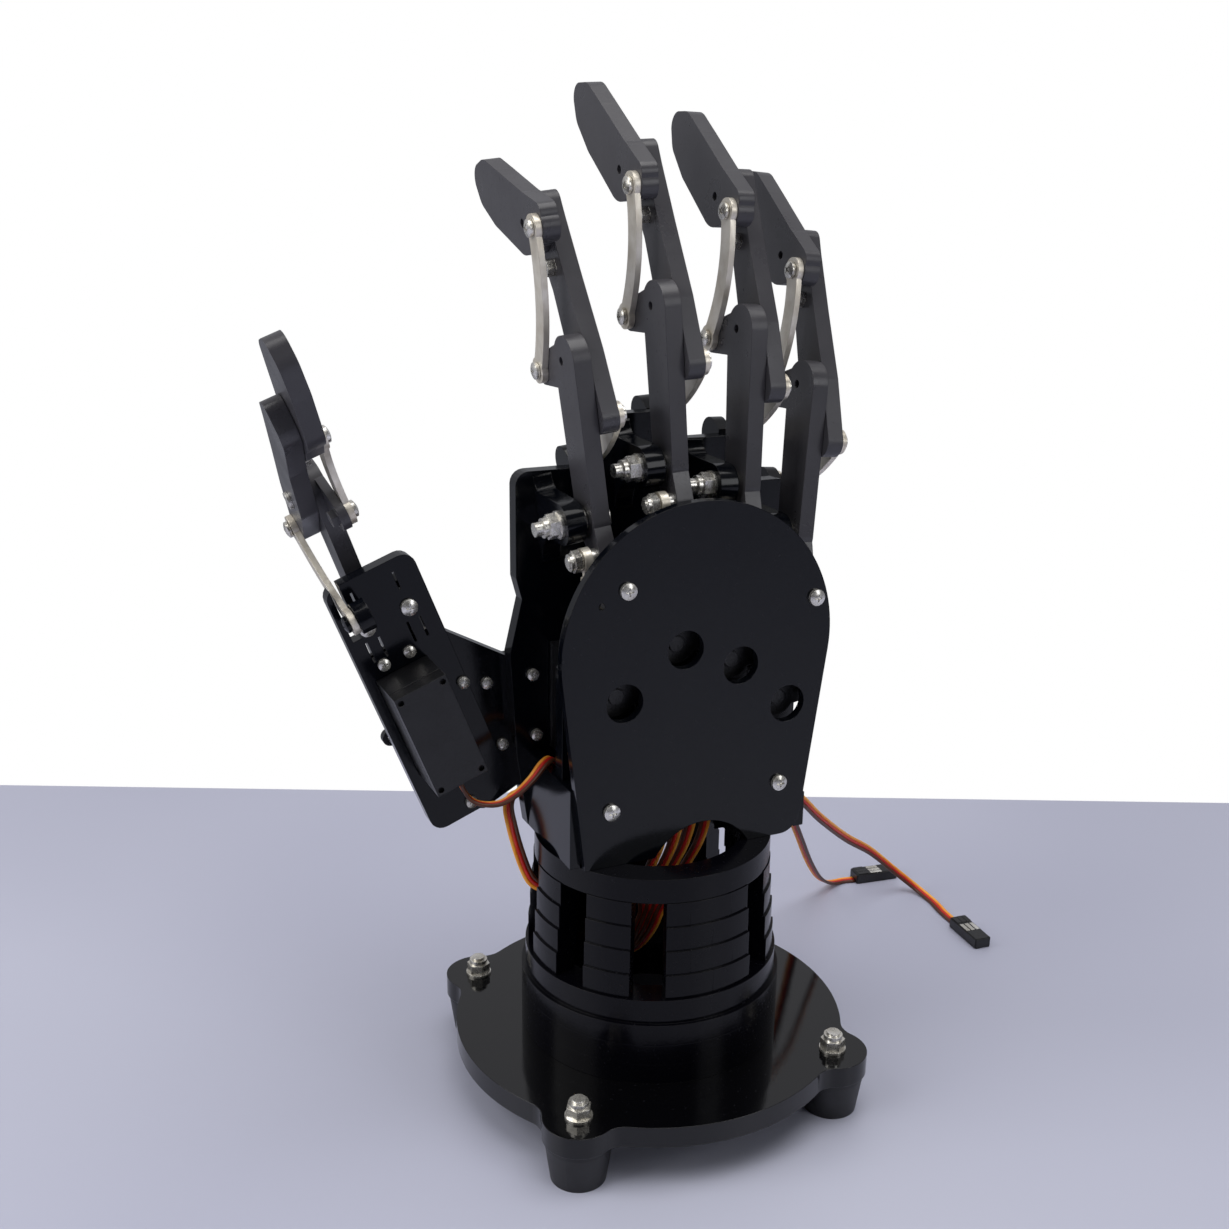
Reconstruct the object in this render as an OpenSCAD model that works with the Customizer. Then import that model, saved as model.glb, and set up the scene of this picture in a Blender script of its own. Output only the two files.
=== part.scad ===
// Dexterous robot hand on a round turret base.
// Millimetres, +Z up. Origin: centre of the base, on the surface it stands on.
// X runs along the knuckle row, -Y is the back of the hand, fingers close toward +Y.

/* [Base] */
// radius of the round base plate
base_r = 75; // [55:1:110]
// thickness of the base plate
base_t = 8; // [4:0.5:12]
// radius of each corner lobe
lobe_r = 13; // [10:0.5:18]
// distance of the lobe bolts from the centre
lobe_bolt_r = 73.5; // [60:0.5:105]
// height of the rubber feet
foot_h = 16; // [8:0.5:25]
// radius of a foot where it meets the plate
foot_top_r = 12; // [9:0.5:14]
// radius of a foot where it meets the table
foot_low_r = 10; // [7:0.5:13]

/* [Turret] */
// radius of the plain rings under the turret
stack_r = 49.5; // [35:0.5:60]
// thickness of one plain ring
stack_t = 8; // [4:0.5:12]
// radius of the lowest turret ring
turret_low_r = 48; // [35:0.5:60]
// radius of the top turret ring
turret_top_r = 44.5; // [32:0.5:58]
// height of one turret layer
layer_h = 9.2; // [5:0.1:14]
// radial thickness of the turret wall
wall_t = 9; // [5:0.5:14]
// angle covered by one narrow tile
tile_a = 22; // [12:1:30]

/* [Palm] */
// thickness of the palm plate
palm_t = 6; // [3:0.5:9]
// thickness of the back cover
cover_t = 3.5; // [2:0.5:6]
// radius of the rounded top of the back cover
cover_r = 52.6; // [40:0.5:65]
// half width of the back cover at its foot
cover_foot = 43.4; // [35:0.5:50]
// thickness of the plate the servos screw to
servo_plate_t = 6; // [3:0.5:8]
// thickness of the two side walls
side_t = 4; // [2:0.5:6]
// height of the side wall next to the thumb
side_h = 30; // [15:1:50]
// height of the other side wall
far_side_h = 13.5; // [8:0.5:14]
// radius of the view holes over the servo shafts
view_hole_r = 7; // [4:0.5:9]

/* [Servos] */
// length of a servo case
servo_l = 40.7; // [38:0.1:42]
// width of a servo case
servo_w = 19.7; // [18:0.1:21]
// height of a servo case
servo_h = 36.5; // [34:0.1:40]
// height of the fixing ears above the servo bottom
ear_up = 27.5; // [24:0.5:30]
// thickness of the fixing ears
ear_t = 2.5; // [2:0.1:3.5]
// length over the fixing ears
ear_l = 54.5; // [52:0.5:57]
// distance of the shaft from the near end of the case
shaft_in = 10.2; // [8:0.1:12]
// radius of the servo shaft
shaft_r = 2.9; // [2:0.05:3.5]
// length of the servo arm
arm_l = 12; // [11:0.5:16]
// thickness of the servo arm
arm_t = 3; // [1.5:0.1:4]

/* [Fingers] */
// thickness of a finger plate
plate_t = 6.3; // [4:0.1:8]
// gap between neighbouring finger plates
plate_gap = 0.2; // [0.1:0.05:0.5]
// length from knuckle to middle joint
near_l = 54.3; // [40:0.1:70]
// length from middle joint to end joint
mid_l = 49.2; // [35:0.1:60]
// length of the finger tip plate
tip_l = 37; // [28:0.5:48]
// length of the thumb tip from its joint
thumb_tip_l = 25; // [24:0.5:60]
// lean of the first phalanx from upright
near_lean = 5.8; // [0:0.1:15]
// lean of the second phalanx from upright
mid_lean = 26.6; // [15:0.1:40]
// lean of the tip from upright
tip_lean = 57; // [40:0.5:75]
// lean of the index tip from upright
index_tip_lean = 74; // [40:0.5:80]
// thickness of the metal links
link_t = 2.2; // [1:0.1:3]
// width of the metal links
link_w = 6.6; // [3:0.1:9]
// radius of the eye at each end of a link
link_eye = 4.6; // [3.6:0.1:7]
// how far the metal links bow out
link_bow = 4.2; // [0.5:0.1:6]
// radius of a push rod
rod_r = 1.2; // [0.8:0.1:2]

/* [Thumb] */
// lean of the thumb away from the fingers
thumb_lean = 21.5; // [0:0.5:45]
// length of the thumb plate
thumb_plate_l = 103; // [80:1:125]
// width of the thumb plate
thumb_plate_w = 33.5; // [26:0.5:42]
// how far the thumb is closed at rest
thumb_near_lean = 13.1; // [0:0.1:30]
// lean of the second thumb phalanx
thumb_mid_lean = 47.6; // [30:0.1:60]
// lean of the thumb tip
thumb_tip_lean = 26.8; // [10:0.1:60]

/* [Fixings] */
// radius of an M3 shank
m3_r = 1.5; // [1.4:0.05:1.6]
// radius of an M3 pan head
m3_head = 3; // [2.6:0.1:3.4]
// radius of the small screw heads round the thumb
small_head = 2.2; // [2:0.1:2.8]
// radius of an M5 shank
m5_r = 2.5; // [2.4:0.05:2.6]
// radius of an M4 shank
m4_r = 2; // [1.9:0.05:2.1]
// running clearance on a pivot
run_gap = 0.05; // [0.02:0.01:0.1]
// loose clearance at the one free eye of each linkage
free_gap = 1.1; // [0.5:0.1:1.4]
// gap between a push rod and the servo arm
rod_lift = 0.95; // [0.5:0.05:1.1]
// clearance round a servo case in its cut-out
case_gap = 0.2; // [0.1:0.05:0.5]

/* [Leads] */
// diameter of one servo lead
lead_d = 3; // [2:0.1:4]
// diameter of the leads gathered in the notch
bundle_d = 5; // [3:0.1:6]
// length of a lead plug
plug_l = 22; // [14:1:30]
// width of a lead plug
plug_w = 8; // [6:0.1:12]
// height of a lead plug
plug_h = 5; // [3:0.1:6]

/* [Hidden] */
$fn = 96;
plate_top = foot_h + base_t;
stack_top = plate_top + 3 * stack_t;
palm_z = stack_top + 6 * layer_h;
palm_low = 79.2;
zo = palm_z - palm_low;
palm_y = 19;
cover_y = -25;
knuckle_y = -2;
servo_y = 23.9;
servo_plate_y = servo_y - ear_up - ear_t - servo_plate_t;
mid_x = 5;
lb = plate_t + plate_gap;
link_b = lb + plate_t + 0.1;
index_k = [-30, knuckle_y, 201 + zo];
middle_k = [-0.6, knuckle_y, 218 + zo];
ring_k = [28.3, knuckle_y, 209 + zo];
little_k = [51.3, knuckle_y, 188.5 + zo];
thumb_k = [-91.5, 46, 163.4 + zo];
index_splay = 6.7;
middle_splay = 3;
ring_splay = -2;
little_splay = -5;
index_s = [-24, 140.4 + zo];
middle_s = [-0.9, 157 + zo];
ring_s = [21.2, 148.5 + zo];
little_s = [41.1, 131.2 + zo];
thumb_c = [-82.4, 136.5 + zo];
thumb_s = [-3, -17];
lever = [-6, -12.5];
ear_e = [17.4, -3.3];
tail_f = [-3.3, -13.4];
tail_t = [-0.4, -21.5];
ground_g = [34.5, 12];
// routes of the leads
thumb_route = [[-75.2, 2, 134.1], [-73.9, 2, 130.8], [-71.5, 0.5, 127], [-67.5, -2, 125.6],
  [-62, -4, 126], [-56, -4.5, 129], [-50, -3.5, 133], [-44.5, -0.5, 136.6], [-40, 3, 136.6],
  [-37, 6, 133], [-36.4, 8, 127], [-36.4, 8, 117], [-36.5, 6, 109], [-36.5, 6, 103.2]];
notch_route = [[8, -9.5, 143], [8, -12.5, 138], [7.5, -15, 132], [7, -16.4, 125],
  [6, -16.5, 117], [5, -15.8, 109], [4, -13.5, 101], [3, -9.5, 93], [2, -5, 85], [2, -1, 76],
  [1, 2, 67], [0, 6, 58], [0, 12, 49], [0, 20, 41.5], [0, 27, 36], [0, 31, 31], [0, 32.5, 27],
  [0, 32.5, 24]];
side_a_route = [[5.5, -15, 107], [7, -8, 107], [8, 2, 107], [8, 15, 107], [9, 24, 107],
  [14, 29.5, 105], [27, 30, 109], [40, 29, 112], [52, 27.5, 112], [62, 28, 105], [70, 29, 98],
  [86, 33, 86], [105, 46, 68], [132, 65, 45], [155, 77, 28], [172, 80, 13], [182, 76, 4],
  [184, 66, 1.6], [182, 53, 1.6], [181, 41, 1.6]];
side_b_route = [[2, -1, 77], [-10, 1, 80], [-24, 5, 82], [-32, 7.4, 82], [-40, 9.2, 82],
  [-44, 11, 84], [-46, 13, 88], [-48, 16, 96], [-48.5, 21, 103], [-47.5, 27.5, 109],
  [-43, 32, 111.5], [-36, 33.5, 110], [-27, 34, 106.5], [-15, 35, 104.8], [0, 37, 104.8],
  [15, 36, 104.8], [27, 34, 106.5], [40, 33, 107.5], [52, 32, 106], [63, 32, 100],
  [75, 34, 90], [88, 44, 74], [102, 57, 54],
  [117, 72, 33], [132, 86, 15], [144, 95, 5], [153, 99, 1.6], [161, 98, 1.6]];

// ---- small helpers ----
// point p turned by a lean a, leaning toward +u
function lean(p, a) = [p[0] * cos(a) + p[1] * sin(a), -p[0] * sin(a) + p[1] * cos(a)];

// straight-sided outline round two circles
module link2d(a, ra, b, rb) {
  d = b - a;
  l = norm(d);
  g = atan2(d[1], d[0]);
  k = acos((ra - rb) / l);
  translate(a) circle(ra);
  translate(b) circle(rb);
  qa = ra * 0.998;
  qb = rb * 0.998;
  polygon([a + qa * [cos(g + k), sin(g + k)], b + qb * [cos(g + k), sin(g + k)],
    b + qb * [cos(g - k), sin(g - k)], a + qa * [cos(g - k), sin(g - k)]]);
}

// curved strap with an eye at each end, running up +v from the origin
module strap2d(l, w, eye, sag) {
  r = (l * l / 4 + sag * sag) / (2 * sag);
  c = [-(r - sag), l / 2];
  translate([0, 0]) circle(eye);
  translate([0, l]) circle(eye);
  intersection() {
    difference() {
      translate(c) circle(r + w / 2, $fn = 240);
      translate(c) circle(r - w / 2, $fn = 240);
    }
    polygon([c, c + 3 * ([0, 0] - c), c + 3 * ([0, l] - c)]);
  }
}

// a flat profile in (u, v) made into a plate of thickness t starting at x
module plate(x, t) {
  translate([x, 0, 0]) rotate([90, 0, 90]) linear_extrude(t) children();
}

// a round pin along x at (u, v)
module pin(p, r, x, l) {
  translate([x, p[0], p[1]]) rotate([0, 90, 0]) cylinder(r = r, h = l);
}

// hexagon along x, across-flats size af
module hexpin(p, af, x, l) {
  translate([x, p[0], p[1]]) rotate([0, 90, 0]) cylinder(r = af / sqrt(3), h = l, $fn = 6);
}

// into a finger's own frame
module seat(k, splay, turn = 0) {
  translate(k) rotate([0, -splay, 0]) rotate([0, 0, turn]) children();
}

// turned about the finger's pivot by a lean
module leaned(p, a) {
  translate([0, p[0], p[1]]) rotate([-a, 0, 0]) children();
}

// domed screw head with a cross recess, along +z
module pan_head(r, h) {
  difference() {
    intersection() {
      cylinder(r = r, h = h);
      translate([0, 0, h - 1.9 * r]) sphere(1.9 * r);
    }
    for (t = [0, 90]) rotate([0, 0, t]) translate([-r * 0.5, -0.3, h - 0.8]) cube([r, 0.6, 1]);
  }
}

// lock nut with a round collar, along +z
module lock_nut(af, h, bore) {
  cylinder(r = af / sqrt(3), h = h * 0.66, $fn = 6);
  cylinder(r = af * 0.44, h = h);
}

// ---- base ----
module lobe_plate() {
  d = lobe_bolt_r;
  rf = 9;
  a = base_r + rf;
  b = lobe_r + rf;
  g = acos((a * a + d * d - b * b) / (2 * a * d));
  circle(base_r, $fn = 180);
  for (q = [45:90:315]) rotate(q) {
    translate([d, 0]) circle(lobe_r);
    difference() {
      polygon([[0, 0], [a * cos(g), -a * sin(g)], [d, 0], [a * cos(g), a * sin(g)]]);
      translate([a * cos(g), a * sin(g)]) circle(rf * 1.002);
      translate([a * cos(g), -a * sin(g)]) circle(rf * 1.002);
    }
  }
}

module base_plate() {
  color("black") translate([0, 0, foot_h]) difference() {
    linear_extrude(base_t) lobe_plate();
    for (q = [45:90:315]) rotate([0, 0, q]) translate([lobe_bolt_r, 0, -1])
      cylinder(r = m5_r + run_gap, h = base_t + 2);
    translate([0, 0, -1]) cylinder(r = 26, h = base_t + 2);
  }
}

module rubber_feet() {
  color("dimgray") for (q = [45:90:315]) rotate([0, 0, q]) translate([lobe_bolt_r, 0, 0])
    difference() {
      union() {
        cylinder(r1 = foot_low_r, r2 = foot_top_r, h = foot_h - 2);
        translate([0, 0, foot_h - 2]) cylinder(r = foot_top_r, h = 2);
      }
      translate([0, 0, -1]) cylinder(r = m5_r + run_gap, h = foot_h + 2);
      translate([0, 0, -1]) cylinder(r = 6, h = 6);
    }
}

module base_bolts() {
  for (q = [45:90:315]) rotate([0, 0, q]) translate([lobe_bolt_r, 0, 0]) {
    translate([0, 0, 1.5]) cylinder(r = 5, h = 3.5);
    translate([0, 0, 5]) cylinder(r = m5_r, h = plate_top + 2.5);
    translate([0, 0, plate_top]) cylinder(r = 5, h = 1);
    translate([0, 0, plate_top + 1]) rotate([0, 0, 15]) lock_nut(8, 5.5, m5_r);
  }
}

// ---- turret ----
// annular sector standing on z
module sector(r, t, h, a0, a1) {
  rotate([0, 0, a0]) rotate_extrude(angle = a1 - a0, $fn = 180) translate([r - t, 0]) square([t, h]);
}

module turret_rings() {
  color("black") {
    for (i = [0:2]) translate([0, 0, plate_top + i * stack_t]) difference() {
      cylinder(r = stack_r, h = stack_t - 0.03, $fn = 180);
      translate([0, 0, -1]) cylinder(r = stack_r - wall_t - 2, h = stack_t + 2, $fn = 180);
    }
    translate([0, 0, stack_top]) difference() {
      cylinder(r = turret_low_r, h = layer_h - 0.03, $fn = 180);
      translate([0, 0, -1]) cylinder(r = turret_low_r - wall_t - 2, h = layer_h + 2, $fn = 180);
    }
    translate([0, 0, palm_z - layer_h]) difference() {
      cylinder(r = turret_top_r, h = layer_h, $fn = 180);
      translate([0, 0, -1]) cylinder(r = turret_top_r - wall_t - 2, h = layer_h + 2, $fn = 180);
    }
  }
}

module turret_tiles() {
  r0 = turret_low_r - 0.4;
  dr = (turret_low_r - turret_top_r) / 5;
  color("black") for (i = [0:3]) translate([0, 0, stack_top + (i + 1) * layer_h]) {
    h = layer_h - 0.03;
    r = r0 - dr * (i + 1);
    s = (i % 2 == 0) ? 0 : tile_a / 2;
    for (c = [-3.5:1:3.5]) {
      o = sign(c) * (49 + 38 * (abs(c) - 0.5));
      sector(r, wall_t, h, -87 + o - tile_a / 2, -87 + o + tile_a / 2);
    }
    sector(r, wall_t, h, -87 - tile_a, -87 - s);
    if (s > 0) sector(r, wall_t, h, -87 - s + 0.1, -87 + s - 0.1);
    sector(r, wall_t, h, -87 + s + (s > 0 ? 0 : 0.1), -87 + tile_a);
  }
}

// ---- palm ----
// points on an arc about c, from angle a0 to a1
function arc(c, r, a0, a1) =
  [for (i = [0:5]) let (g = a0 + (a1 - a0) * i / 5) [c[0] + r * cos(g), c[1] + r * sin(g)]];

// a flat profile in (x, z) made into an upright plate from y, t thick
module wall(y, t) {
  translate([0, y + t, 0]) rotate([90, 0, 0]) linear_extrude(t) children();
}

module case2d(s, gap) {
  translate([s[0] - servo_w / 2 - gap, s[1] + shaft_in - servo_l - gap])
    square([servo_w + 2 * gap, servo_l + 2 * gap]);
}

module palm2d() {
  translate([0, zo]) polygon(concat(
    [[-42.9, palm_z - zo], [-47.1, 107.3], [-49.5, 147.5], [-44.8, 167.8], [-47, 176]],
    arc([-42, 209.5], 5, 180, 90),
    [[-17.5, 214.5]],
    arc([-13.5, 228.8], 4, 180, 90),
    arc([10, 228.8], 4, 90, 0),
    [[14, 222]],
    arc([36, 218], 4, 90, 0),
    [[40, 204]],
    arc([59, 199], 5, 90, 0),
    [[64, 172], [61, 168], [57.5, 150], [57.1, 107.3], [52.9, palm_z - zo]]));
}

// slot for one rear link through the palm plate
module link_slot(k, splay) {
  seat(k, splay) translate([link_b - 0.7, 15, 5]) cube([link_t + 1.4, 18, 40]);
}

module palm_plate() {
  color("black") difference() {
    wall(palm_y, palm_t) difference() {
      palm2d();
      case2d(index_s, case_gap);
      case2d(middle_s, case_gap);
      case2d(ring_s, case_gap);
      case2d(little_s, case_gap);
      translate([-41, 139.1 + zo]) circle(m3_r + run_gap);
      translate([-39.5, 115.3 + zo]) circle(m3_r + run_gap);
      translate([8, palm_z]) circle(9);
    }
    link_slot(index_k, index_splay);
    link_slot(middle_k, middle_splay);
    link_slot(ring_k, ring_splay);
    link_slot(little_k, little_splay);
  }
}

module servo_holes2d(s) {
  c = s[1] + shaft_in - servo_l / 2;
  for (x = [-5, 5], z = [-24.75, 24.75]) translate([s[0] + x, c + z]) circle(m3_r + run_gap);
}

module servo_plate() {
  color("black") wall(servo_plate_y, servo_plate_t) difference() {
    polygon([[-38.8, palm_z], [-38.8, palm_z + side_h + 0.2], [-42, palm_z + side_h + 0.2],
      [-42, 150 + zo], [-34, 161 + zo], [-17, 161 + zo], [-12, 176 + zo], [-6, 179 + zo],
      [8, 179 + zo], [13, 170 + zo], [29, 169 + zo], [34, 152 + zo], [52, 151 + zo],
      [52, palm_z + far_side_h + 0.2], [48.8, palm_z + far_side_h + 0.2], [48.8, palm_z]]);
    case2d(index_s, case_gap);
    case2d(middle_s, case_gap);
    case2d(ring_s, case_gap);
    case2d(little_s, case_gap);
    servo_holes2d(index_s);
    servo_holes2d(middle_s);
    servo_holes2d(ring_s);
    servo_holes2d(little_s);
    translate([8, palm_z]) circle(12);
  }
}

module cover2d() {
  c = [mid_x, 157 + zo];
  f = [cover_foot, palm_z - 157 - zo];
  d = norm(f);
  g = atan2(f[1], f[0]) + acos(cover_r / d);
  t = cover_r * [cos(g), sin(g)];
  rc = 8;
  translate(c) circle(cover_r, $fn = 180);
  translate(c) polygon([[0, 0], [-t[0], t[1]], [-f[0], f[1]], [f[0] - rc, f[1]],
    [f[0] + 0.6, f[1] + rc], t]);
  translate(c + [f[0] - rc + 0.3, f[1] + rc]) circle(rc);
}

module back_cover() {
  color("black") wall(cover_y, cover_t) difference() {
    cover2d();
    translate([8, 90.2 - 21.9 + zo]) circle(21.9);
    translate(index_s) circle(view_hole_r);
    translate(middle_s) circle(view_hole_r);
    translate(ring_s) circle(view_hole_r);
    translate(little_s) circle(view_hole_r);
    for (p = [[-23.6, 180.9], [50.9, 170.4], [-28.7, 100.5], [38.9, 100.5]])
      translate(p + [0, zo]) circle(m3_r + run_gap);
    translate([-33.1, 176.4 + zo]) circle(1.2);
  }
}

module side_walls() {
  color("black") for (w = [[-38.8 - side_t, side_h], [48.8, far_side_h]])
    translate([w[0], cover_y + cover_t, palm_z])
      cube([side_t, palm_y - cover_y - cover_t, w[1]]);
}

// bolts and spacers holding the back cover
module cover_standoffs() {
  long_h = palm_y - cover_y - cover_t;
  short_h = servo_plate_y - cover_y - cover_t - 1.9;
  color("silver") for (p = [[-23.6, 180.9, long_h], [50.9, 170.4, 6.4 - cover_t],
    [-28.7, 100.5, short_h], [38.9, 100.5, short_h]])
      translate([p[0], cover_y + cover_t, p[1] + zo]) rotate([-90, 0, 0]) difference() {
        cylinder(r = 5.5 / sqrt(3), h = p[2], $fn = 6);
        translate([0, 0, -1]) cylinder(r = m3_r + run_gap, h = 7);
      }
}

// knuckle ear profile, its foot on the palm plate at u = 21
module knuckle2d(low) {
  circle(7.5);
  translate([0, -7.5]) square([21, 15]);
  if (low) difference() {
    translate([8.5, -20]) square([12.5, 12.6]);
    translate([8.5, -20]) circle(12.5);
  }
  difference() {
    translate([15.5, 7.4]) square([5.5, 5.6]);
    translate([15.5, 13]) circle(5.5);
  }
}

module one_knuckle(k, splay, turn = 0) {
  seat(k, splay, turn) plate(-9, 7) difference() {
    knuckle2d(turn == 0);
    circle(m5_r + run_gap);
  }
}

module knuckle_ears() {
  color("black") {
    one_knuckle(index_k, index_splay);
    one_knuckle(middle_k, middle_splay);
    one_knuckle(ring_k, ring_splay);
    one_knuckle(little_k, little_splay);
    one_knuckle(thumb_k, thumb_lean, 180);
  }
}

module one_knuckle_bolt(k, splay, turn = 0) {
  seat(k, splay, turn) {
    pin([0, 0], m5_r, -18.5, 18.5 + plate_t + 0.3);
    pin([0, 0], 4.8, -2, 1);
    pin([0, 0], 4.2, -1, 0.8);
    pin([0, 0], 5, -10, 1);
    translate([-10, 0, 0]) rotate([0, -90, 0]) lock_nut(8, 5.5, m5_r);
    translate([plate_t + 0.2, 0, 0]) rotate([0, 90, 0]) pan_head(4.6, 3);
  }
}

module m5_bolts() {
  color("silver") {
    base_bolts();
    one_knuckle_bolt(index_k, index_splay);
    one_knuckle_bolt(middle_k, middle_splay);
    one_knuckle_bolt(ring_k, ring_splay);
    one_knuckle_bolt(little_k, little_splay);
    one_knuckle_bolt(thumb_k, thumb_lean, 180);
  }
}

// bracket carrying the fixed pivot of a rear link
module one_bracket(k, splay, turn = 0) {
  seat(k, splay, turn) {
    plate(link_b - 5.3, 5) intersection() {
      translate([27, (turn == 0) ? -8 : 7.9]) square([20, 40]);
      union() {
        link2d([30, 9], 6.4, ground_g, 6);
        translate([20, -8]) square([10, 21]);
        difference() {
          translate([29.9, -4]) square([6, 8]);
          translate([36.5, -2.5]) circle(6.5);
        }
      }
    }
    pin(ground_g, m3_r, link_b - 0.4, link_t + 0.9);
    translate([link_b + link_t + 0.3, ground_g[0], ground_g[1]]) rotate([0, 90, 0])
      pan_head(m3_head, 2);
  }
}

module link_brackets() {
  color("black") {
    one_bracket(index_k, index_splay);
    one_bracket(middle_k, middle_splay);
    one_bracket(ring_k, ring_splay);
    one_bracket(little_k, little_splay);
    one_bracket(thumb_k, thumb_lean, 180);
  }
}

// screw seen from the back of the hand, head on the plane y, shank going in by l
module back_screw(p, y, l, head) {
  translate([p[0], y, p[1] + zo]) rotate([90, 0, 0]) {
    pan_head(head, 2.2);
    translate([0, 0, -l]) cylinder(r = m3_r, h = l + 0.1);
  }
}

module m3_screws() {
  color("silver") {
    servo_screws();
    for (p = [[-23.6, 180.9], [50.9, 170.4], [-28.7, 100.5], [38.9, 100.5]])
      back_screw(p, cover_y, cover_t + 4, m3_head);
    for (p = [[-41, 139.1], [-39.5, 115.3], [-65.3, 92.7], [-67.6, 139.7]])
      back_screw(p, palm_y, 11.5, small_head);
    back_screw([-56.7, 136], palm_y + palm_t, 5.5, small_head);
    back_screw([-50.8, 111], palm_y + palm_t, 5.5, small_head);
    back_screw([-86.8, 170.1], palm_y, 5.9, m3_head);
    back_screw([-102, 164.3], palm_y, 5.9, m3_head);
  }
}

// ---- servos ----
// bottom centre under the shaft, shaft pointing +y, case running down -z
module servo() {
  z0 = shaft_in - servo_l;
  difference() {
    union() {
      translate([-servo_w / 2, 0, z0]) cube([servo_w, servo_h, servo_l]);
      translate([-servo_w / 2, ear_up, z0 - (ear_l - servo_l) / 2])
        cube([servo_w, ear_t, ear_l]);
      translate([0, servo_h - 1, 0]) rotate([-90, 0, 0]) cylinder(r = 6.3, h = 2.5);
      translate([0, servo_h, 0]) rotate([-90, 0, 0]) cylinder(r = shaft_r, h = 5.5);
    }
    for (x = [-5, 5], z = [-24.75, 24.75]) translate([x, ear_up - 1, z0 + servo_l / 2 + z])
      rotate([-90, 0, 0]) cylinder(r = m3_r + run_gap, h = ear_t + 2);
    for (y = [6.2, 24.6]) translate([0, y, z0 + servo_l / 2]) difference() {
      cube([servo_w + 2, 0.5, servo_l + 2], center = true);
      cube([servo_w - 0.7, 2, servo_l - 0.7], center = true);
    }
    for (x = [-8, 8], z = [z0 + 2, shaft_in - 2]) translate([x, -0.1, z]) rotate([-90, 0, 0])
      cylinder(r = 1.1, h = 2);
  }
}

module finger_servo(s) {
  color("dimgray") translate([s[0], servo_y, s[1]]) rotate([0, 0, 180]) servo();
}

module servo_index() { finger_servo(index_s); }
module servo_middle() { finger_servo(middle_s); }
module servo_ring() { finger_servo(ring_s); }
module servo_little() { finger_servo(little_s); }

// into the thumb plate's own frame, y kept
module thumb_seat() {
  translate([thumb_c[0], 0, thumb_c[1]]) rotate([0, -thumb_lean, 0]) children();
}

module servo_thumb() {
  color("dimgray") thumb_seat()
    translate([thumb_s[0], palm_y + palm_t - ear_up, thumb_s[1]]) rotate([0, 180, 0]) servo();
}

module servo_screws() {
  for (s = [index_s, middle_s, ring_s, little_s], x = [-5, 5], z = [-24.75, 24.75])
    translate([s[0] + x, servo_plate_y, s[1] + shaft_in - servo_l / 2 + z])
      rotate([90, 0, 0]) {
        pan_head(2.8, 1.8);
        translate([0, 0, -servo_plate_t - ear_t - 1])
          cylinder(r = m3_r, h = servo_plate_t + ear_t + 1.1);
      }
  thumb_seat() for (x = [-5, 5], z = [-24.75, 24.75])
    translate([thumb_s[0] + x, palm_y, thumb_s[1] - shaft_in + servo_l / 2 + z])
      rotate([90, 0, 0]) {
        pan_head(small_head, 1.8);
        translate([0, 0, -palm_t - ear_t - 1]) cylinder(r = m3_r, h = palm_t + ear_t + 1.1);
      }
}

// ---- thumb plate and bridge ----
module thumb_plate2d() {
  w = thumb_plate_w / 2;
  h = thumb_plate_l / 2;
  r = 5;
  q = 14;
  difference() {
    polygon(concat(arc([-w + r, -h + r], r, 180, 270), arc([w - q, -h + q], q, 270, 360),
      arc([w - r, h - r], r, 0, 90), arc([-w + r, h - r], r, 90, 180)));
    translate([thumb_s[0] - servo_w / 2 - case_gap, thumb_s[1] - shaft_in - case_gap])
      square([servo_w + 2 * case_gap, servo_l + 2 * case_gap]);
    for (x = [-5, 5], z = [-24.75, 24.75])
      translate([thumb_s[0] + x, thumb_s[1] - shaft_in + servo_l / 2 + z])
        circle(m3_r + run_gap);
    for (x = [-8, 8]) {
      translate([x - 2.8, 20]) square([0.8, 8]);
      translate([x + 2, 20]) square([0.8, 8]);
      translate([x - 0.4, 40]) square([0.8, 7]);
    }
  }
}

module thumb_plate() {
  color("black") difference() {
    thumb_seat() wall(palm_y, palm_t) thumb_plate2d();
    seat(thumb_k, thumb_lean, 180) translate([link_b - 0.7, 15, 2]) cube([link_t + 1.4, 18, 40]);
    for (p = [[-65.3, 92.7], [-67.6, 139.7], [-86.8, 170.1], [-102, 164.3]])
      translate([p[0], palm_y - 1, p[1] + zo]) rotate([-90, 0, 0])
        cylinder(r = m3_r + run_gap, h = palm_t + 2);
  }
}

module thumb_bridge() {
  color("black") wall(palm_y + palm_t, palm_t) difference() {
    polygon([[-71.7, 157.6 + zo], [-48.4, 145.1 + zo], [-36.5, 145.1 + zo], [-36.5, 98 + zo],
      [-58, 86 + zo], [-68.7, 88.2 + zo], [-73.7, 100.9 + zo], [-61.6, 103.9 + zo],
      [-81, 153.2 + zo]]);
    for (p = [[-41, 139.1], [-39.5, 115.3], [-65.3, 92.7], [-67.6, 139.7], [-56.7, 136],
      [-50.8, 111]]) translate(p + [0, zo]) circle(m3_r + run_gap);
  }
}

// ---- leads ----
function unit(v) = v / norm(v);
function heading(p, i) = unit(p[min(i + 1, len(p) - 1)] - p[max(i - 1, 0)]);
function carried(p, n, i) = (i >= len(p)) ? [] :
  let (t = heading(p, i), m = unit(n - (n * t) * t)) concat([m], carried(p, m, i + 1));

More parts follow.
